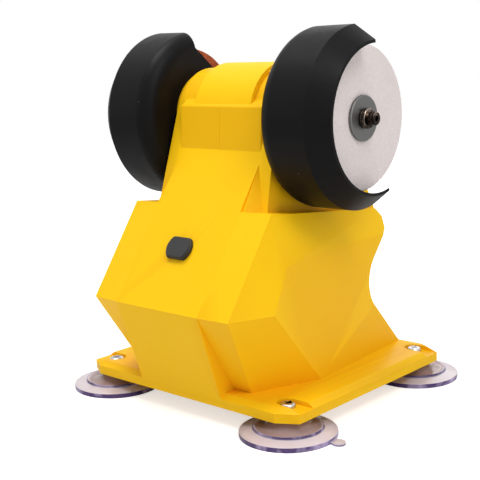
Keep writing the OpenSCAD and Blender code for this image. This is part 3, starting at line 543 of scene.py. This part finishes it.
def soft_line(points, rounds=2):
    """Cuts the corners of a closed line, so that its turned surface is soft."""
    for _ in range(rounds):
        out = []
        for i, p in enumerate(points):
            q = points[(i + 1) % len(points)]
            out.append((p[0] * 0.8 + q[0] * 0.2, p[1] * 0.8 + q[1] * 0.2))
            out.append((p[0] * 0.2 + q[0] * 0.8, p[1] * 0.2 + q[1] * 0.8))
        points = out
    return points


def unite(target, other):
    mod = target.modifiers.new("unite", "BOOLEAN")
    mod.operation = "UNION"
    mod.solver = "EXACT"
    mod.object = other
    apply_modifiers(target)
    bpy.data.objects.remove(other)


def finish_piece(obj, body, material, *nodes):
    """Paints a piece, hides the CAD nodes that it stands for, and lets it ride on its body."""
    paint(obj, material)
    if nodes:
        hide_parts(*nodes)
    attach(obj, body)


def dress(node, radius, angle=28.0, segments=2, seam=1.0):
    """Stands a copy with rounded edges in for a CAD node."""
    piece = rounded(copy_of(node, node + "_shell"), radius, angle, segments, seam)
    finish_piece(piece, BODY_OF[node], SLOT_OF[node], node)


# ---------------------------------------------------------------- operators

class SHARPENER_OT_materials(bpy.types.Operator):
    """Builds every finish and paints the frame's nodes"""
    bl_idname = "sharpener.materials"
    bl_label = "Materials"

    def execute(self, context):
        build_materials(context.scene.sharpener)
        for name, obj in NODES.items():
            finish = finish_named("winding" if name == "armature_windings" else SLOT_OF[name])
            if not obj.data.materials:
                obj.data.materials.append(finish)
            for i in range(len(obj.data.materials)):
                obj.data.materials[i] = finish
        return {"FINISHED"}


class SHARPENER_OT_housing(bpy.types.Operator):
    """Rounds the edges of the housing halves and raises the pad on the neck's back"""
    bl_idname = "sharpener.housing"
    bl_label = "Housing"

    def execute(self, context):
        for node in ("left_housing", "right_housing"):
            dress(node, context.scene.sharpener.housing_round, seam=SEAM_SHARE)
        self.neck_pad("left_neck_pad", -1)
        self.neck_pad("right_neck_pad", 1)
        return {"FINISHED"}

    def neck_pad(self, name, side):
        """Half of the raised, nearly upright panel on the neck's sloping back."""
        middle_y = (PAD_LIP[0] + PAD_ROOT_Y) / 2
        middle_z = (PAD_LIP[1] + PAD_FOOT[1]) / 2
        above = PAD_LIP[1] + 0.1 * MM
        bpy.ops.object.select_all(action="DESELECT")
        bpy.ops.mesh.primitive_cube_add(size=1.0)
        pad = started(name)
        pad.scale = (PAD_HALF_X, PAD_LIP[0] - PAD_ROOT_Y, PAD_LIP[1] - PAD_FOOT[1])
        pad.location = (side * PAD_HALF_X / 2, middle_y, middle_z)
        apply_place(pad)
        move_points(pad, lambda c: c.z < middle_z and c.y > middle_y, (0, PAD_FOOT[0] - PAD_LIP[0], 0))
        move_points(pad, lambda c: c.z < middle_z and c.y < middle_y,
                    (0, PAD_FOOT[0] - PAD_ROOT_DEPTH - PAD_ROOT_Y, 0))
        pick(pad, "polygons", lambda f: f.normal.z > 0.9)
        pull((0, 0, PAD_LEDGE[1] - PAD_LIP[1]))
        done()
        move_points(pad, lambda c: c.z > above and c.y < middle_y, (0, PAD_LEDGE[0] - PAD_ROOT_DEPTH - PAD_ROOT_Y, 0))
        move_points(pad, lambda c: c.z > above and c.y > middle_y, (0, PAD_LEDGE[0] - PAD_LIP[0], 0))
        rounded(pad, PAD_ROUND, 18, 3, PAD_SEAM_SHARE)
        finish_piece(pad, "body", "yellow_plastic")


class SHARPENER_OT_guards(bpy.types.Operator):
    """Rounds the edges of the wheel guards"""
    bl_idname = "sharpener.guards"
    bl_label = "Guards"

    def execute(self, context):
        for node in ("left_guard", "right_guard"):
            dress(node, context.scene.sharpener.guard_round, 32)
        return {"FINISHED"}


class SHARPENER_OT_cups(bpy.types.Operator):
    """Turns the soft suction cups with their raised ring and pull tab"""
    bl_idname = "sharpener.cups"
    bl_label = "Suction cups"

    def execute(self, context):
        for node, (spot, turn) in CUPS.items():
            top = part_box(node)[1][2] / MM
            stem = ((CUP_STEM_R + 0.2, top - 0.5), (CUP_STEM_R, top), (CUP_BORE_R, top))
            cup = turned(node + "_soft", soft_line(CUP_SECTION + stem))
            tab = self.tab(node + "_tab")
            tab.rotation_euler.z = math.radians(turn)
            apply_place(tab)
            unite(cup, tab)
            self.tint(cup)
            cup.location = (*spot, 0)
            apply_place(cup)
            smooth(cup, 50)
            finish_piece(cup, "body", "cup_rubber", node)
        return {"FINISHED"}

    def tint(self, cup):
        """Marks the walls of rim, ring and tab, where the rubber looks deep violet, and the inner dish, which takes
        the painted shade.
        """
        rim = cup.data.attributes.new("rim", "FLOAT", "POINT")
        dish = cup.data.attributes.new("dish", "FLOAT", "POINT")
        for v in cup.data.vertices:
            r = math.hypot(v.co.x, v.co.y) / MM
            z = v.co.z / MM
            wall = 1 - max(0.0, abs(r - CUP_RIM_R) - 0.2) / 0.5 if z < CUP_RIM_TOP else 0.0
            ring = 1 - max(0.0, abs(r - CUP_RING_R) - 0.15) / 0.4 if z > CUP_RING_FOOT else 0.0
            lip = 1 - max(0.0, z - 1.0) / 0.5 if r > CUP_RIM_R + 0.4 else 0.0
            rim.data[v.index].value = min(1.0, max(0.0, wall, ring, lip))
            # The dish mask places the painted shade and painted reflection in the inner dish.
            dish.data[v.index].value = min(1.0, max(0.0, CUP_DISH_R - r) / CUP_DISH_FADE)

    def tab(self, name):
        """A pull tab along +X: a disc stretched towards the rim, waisted and rounded."""
        bpy.ops.object.select_all(action="DESELECT")
        bpy.ops.mesh.primitive_cylinder_add(vertices=40, radius=TAB_DISC_R, depth=TAB_THICK,
                                            location=(TAB_REACH, 0, TAB_HEIGHT))
        tab = started(name)
        apply_place(tab)
        pick(tab, "polygons", lambda f: abs(f.normal.z) < 0.5 and f.normal.x < -0.75)
        pull((-TAB_WAIST, 0, 0))
        bpy.ops.transform.resize(value=(0, 0.95, 1))
        pull((-TAB_ROOT, 0, 0))
        bpy.ops.transform.resize(value=(1, 1.9, 1.15))
        done()
        return rounded(tab, TAB_ROUND, 50, 3)


class SHARPENER_OT_stones(bpy.types.Operator):
    """Turns the two stones with rounded, slightly chipped edges"""
    bl_idname = "sharpener.stones"
    bl_label = "Stones"

    def execute(self, context):
        for node in ("left_wheel", "right_wheel"):
            low, high = (Vector(corner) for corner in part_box(node))
            hub = (low + high) / 2
            radius = (high.z - low.z) / 2 / MM
            half = (high.x - low.x) / 2 / MM
            bore = min(math.hypot(v.co.y - hub.y, v.co.z - hub.z) for v in NODES[node].data.vertices) / MM
            wheel = turned(node + "_stone", self.section(bore, radius, half), STONE_STEPS)
            self.chip(wheel, hub, bore, radius, half)
            wheel.rotation_euler.y = math.pi / 2
            wheel.location = hub
            apply_place(wheel)
            smooth(wheel, 60)
            finish_piece(wheel, "rotor", SLOT_OF[node], node)
        return {"FINISHED"}

    def section(self, bore, radius, half):
        """Half of the wheel cut through its shaft, in mm, with enough points for chips and grit."""
        flat = radius - STONE_EDGE
        face = [(bore + (flat - bore) * k / 18, half) for k in range(19)]
        edge = [(flat + STONE_EDGE * math.sin(a), half - STONE_EDGE + STONE_EDGE * math.cos(a))
                for a in (math.radians(t) for t in range(12, 91, 13))]
        side = [(radius, (half - STONE_EDGE) * (1 - k / 8)) for k in range(1, 16)]
        top = face + edge
        return top + side + [(r, -z) for r, z in reversed(top)]

    def chip(self, wheel, hub, bore, radius, half):
        """Sinks chips into the edge, most of them at the left wheel's worn spot, and grit all over."""
        for v in wheel.data.vertices:
            r = math.hypot(v.co.x, v.co.y)
            out = Vector((v.co.x, v.co.y, 0)) / max(r, 1e-6)
            edge = max(0.0, 1 - ((radius * MM - r) + (half * MM - abs(v.co.z))) / (CHIP_REACH * MM))
            wear_and_highlight = max(0.0, out.x * WORN_WAY[0] + out.y * WORN_WAY[1]) ** WORN_WIDTH if hub.x < 0 else 0.0
            patch = noise.noise(v.co * (420 + 500 * wear_and_highlight) + hub * 90)
            chips = max(0.0, patch - 0.28 + 0.34 * wear_and_highlight) * edge * (1.1 + 4.0 * wear_and_highlight)
            grit = STONE_GRIT * (0.6 - noise.noise(v.co * 1900)) if r > bore * MM + 1e-4 else 0.0
            depth = (chips + grit) * MM
            v.co -= out * depth + Vector((0, 0, math.copysign(depth * 0.8, v.co.z)))


class SHARPENER_OT_fittings(bpy.types.Operator):
    """Rounds the washers, collars, screws, knob, plug, socket and cover"""
    bl_idname = "sharpener.fittings"
    bl_label = "Fittings"

    def execute(self, context):
        r = context.scene.sharpener.metal_round
        for side in ("left_", "right_"):
            dress(side + "washer", r * 1.4)
            dress(side + "collar", r * 3, segments=3)
            dress(side + "cap_screw", r * 1.6)
            dress(side + "arbor", r * 1.6)
        for node in ("housing_screws", "cover_screws", "guard_screws", "cup_screws", "potentiometer_nut"):
            dress(node, r)
        dress("speed_knob", 0.4 * MM, 35, 3)
        dress("socket_plug", 0.45 * MM, 30, 3)
        dress("bottom_cover", 0.4 * MM)
        dress("power_socket", 0.2 * MM)
        return {"FINISHED"}


class SHARPENER_OT_dial(bpy.types.Operator):
    """Prints the dial's marks and numbers on the panel and the knob's pointer"""
    bl_idname = "sharpener.dial"
    bl_label = "Dial"

    def execute(self, context):
        joint = JOINTS["speed_dial"]
        out, right = Vector(joint["axis"]), Vector((1, 0, 0))
        self.place = Matrix((right, out.cross(right), out)).transposed().to_4x4()
        self.place.translation = Vector(joint["pos_m"])
        for k in range(DIAL_MARKS):
            turn = DIAL_START - DIAL_STEP * k
            length = MARK_SHORT if k % 2 else MARK_LONG
            mark = self.bar("dial_mark_%02d" % k, length, MARK_WIDTH)
            self.set_down(mark, turn, MARK_REACH + length / 2, turn)
            if k % 2 == 0:
                self.set_down(self.number(str(k // 2)), turn, NUMBER_REACH, 0)
        pointer = self.bar("knob_pointer", *POINTER_SIZE)
        self.set_down(pointer, DIAL_START, POINTER_REACH, DIAL_START, POINTER_LIFT, "knob", "print_white")
        return {"FINISHED"}

    def set_down(self, obj, turn, reach, spin, lift=PRINT_LIFT, body="body", material="print_black"):
        """Lays a print on the panel at a turn and a reach from the knob's middle."""
        a = math.radians(turn)
        spot = Matrix.Translation((reach * math.cos(a), reach * math.sin(a), lift))
        obj.matrix_world = self.place @ spot @ Matrix.Rotation(math.radians(spin), 4, "Z")
        bpy.context.view_layer.update()
        apply_place(obj)
        finish_piece(obj, body, material)

    def bar(self, name, length, width):
        bpy.ops.object.select_all(action="DESELECT")
        bpy.ops.mesh.primitive_plane_add(size=1.0)
        bar = started(name)
        bar.scale = (length, width, 1)
        apply_place(bar)
        return self.inked(bar)

    def number(self, text):
        bpy.ops.object.select_all(action="DESELECT")
        bpy.ops.object.text_add()
        obj = started("dial_number_" + text)
        obj.data.body = text
        obj.data.size = NUMBER_SIZE
        obj.data.align_x = "CENTER"
        obj.data.align_y = "CENTER"
        bpy.ops.object.convert(target="MESH")
        return self.inked(obj)

    def inked(self, obj):
        """Gives a flat print a little thickness, so that it stands on the panel."""
        edit(obj)
        bpy.ops.mesh.remove_doubles(threshold=MERGE)
        done()
        mod = obj.modifiers.new("ink", "SOLIDIFY")
        mod.thickness = PRINT_THICK
        mod.offset = 0
        apply_modifiers(obj)
        return obj


class SHARPENER_OT_stage(bpy.types.Operator):
    """Sets the floor, the soft lights and the camera"""
    bl_idname = "sharpener.stage"
    bl_label = "Stage"

    def execute(self, context):
        self.floor()
        self.world(context)
        for name, place, size, power in LAMPS:
            lamp = bpy.data.lights.new(name, "AREA")
            lamp.size = size
            lamp.energy = power * context.scene.sharpener.light
            obj = link(name, lamp)
            obj.location = place
            obj.rotation_euler = (LAMP_AIM - Vector(place)).to_track_quat("-Z", "Y").to_euler()
        self.camera(context)
        context.scene.view_settings.view_transform = "Standard"
        return {"FINISHED"}

    def floor(self):
        """A pale floor that the camera sees as white, with the sharpener's shadow on it."""
        bpy.ops.object.select_all(action="DESELECT")
        bpy.ops.mesh.primitive_plane_add(size=FLOOR_SIZE)
        floor = started("floor")
        g = Finish("pale_floor").set(Roughness=0.8, Specular_IOR_Level=0.1, Emission_Color=(1, 1, 1, 1))
        g.color(g.mix(g.noise(3, 2), (0.84, 0.84, 0.845), (0.86, 0.86, 0.86)))
        lift = g.node("ShaderNodeMath", operation="MULTIPLY")
        lift.inputs[1].default_value = FLOOR_LIFT
        g.link(g.node("ShaderNodeLightPath").outputs["Is Camera Ray"], lift.inputs[0])
        g.link(lift.outputs["Value"], g.bsdf.inputs["Emission Strength"])
        floor.data.materials.append(g.mat)

    def world(self, context):
        """Even light of strength AMBIENT, which the camera, metal and glass see as white."""
        world = bpy.data.worlds.new("studio")
        context.scene.world = world
        world.use_nodes = True
        tree = world.node_tree
        back = tree.nodes["Background"]
        back.inputs["Color"].default_value = (1, 1, 1, 1)
        path = tree.nodes.new("ShaderNodeLightPath")
        seen = path.outputs["Is Camera Ray"]
        for ray in ("Is Glossy Ray", "Is Transmission Ray"):
            both = tree.nodes.new("ShaderNodeMath")
            both.operation = "MAXIMUM"
            tree.links.new(seen, both.inputs[0])
            tree.links.new(path.outputs[ray], both.inputs[1])
            seen = both.outputs["Value"]
        span = tree.nodes.new("ShaderNodeMapRange")
        span.inputs["To Min"].default_value = AMBIENT
        span.inputs["To Max"].default_value = 1.0
        tree.links.new(seen, span.inputs["Value"])
        tree.links.new(span.outputs["Result"], back.inputs["Strength"])

    def camera(self, context):
        camera = bpy.data.cameras.new("camera")
        camera.sensor_width = CAMERA_SENSOR
        camera.lens = CAMERA_LENS
        camera.shift_x, camera.shift_y = CAMERA_SHIFT
        camera.clip_start = 0.01
        obj = link("camera", camera)
        turn, tilt, roll = (math.radians(a) for a in (CAMERA_TURN, CAMERA_TILT, CAMERA_ROLL))
        back = Vector((math.sin(turn) * math.cos(tilt), -math.cos(turn) * math.cos(tilt), math.sin(tilt)))
        level = Vector((math.cos(turn), math.sin(turn), 0.0))
        upright = back.cross(level)
        right = level * math.cos(roll) + upright * math.sin(roll)
        up = upright * math.cos(roll) - level * math.sin(roll)
        place = Matrix((right, up, back)).transposed().to_4x4()
        place.translation = CAMERA_PLACE
        obj.matrix_world = place
        context.scene.camera = obj


class SHARPENER_PT_panel(bpy.types.Panel):
    """Lists the sharpener's sizes, colours and steps"""
    bl_label = "Sharpener"
    bl_idname = "SHARPENER_PT_panel"
    bl_space_type = "VIEW_3D"
    bl_region_type = "UI"
    bl_category = "Sharpener"

    def draw(self, context):
        for key in SharpenerProps.__annotations__:
            self.layout.prop(context.scene.sharpener, key)
        for op in OPERATORS:
            self.layout.operator(op.bl_idname)


OPERATORS = (SHARPENER_OT_materials, SHARPENER_OT_housing, SHARPENER_OT_guards, SHARPENER_OT_cups,
             SHARPENER_OT_stones, SHARPENER_OT_fittings, SHARPENER_OT_dial, SHARPENER_OT_stage)
CLASSES = (SharpenerProps, *OPERATORS, SHARPENER_PT_panel)


def register():
    for cls in CLASSES:
        bpy.utils.register_class(cls)
    bpy.types.Scene.sharpener = bpy.props.PointerProperty(type=SharpenerProps)


def unregister():
    del bpy.types.Scene.sharpener
    for cls in reversed(CLASSES):
        bpy.utils.unregister_class(cls)


def main():
    register()
    bpy.ops.sharpener.materials()
    bpy.ops.sharpener.housing()
    bpy.ops.sharpener.guards()
    bpy.ops.sharpener.cups()
    bpy.ops.sharpener.stones()
    bpy.ops.sharpener.fittings()
    bpy.ops.sharpener.dial()
    bpy.ops.sharpener.stage()


if __name__ == "__main__":
    main()
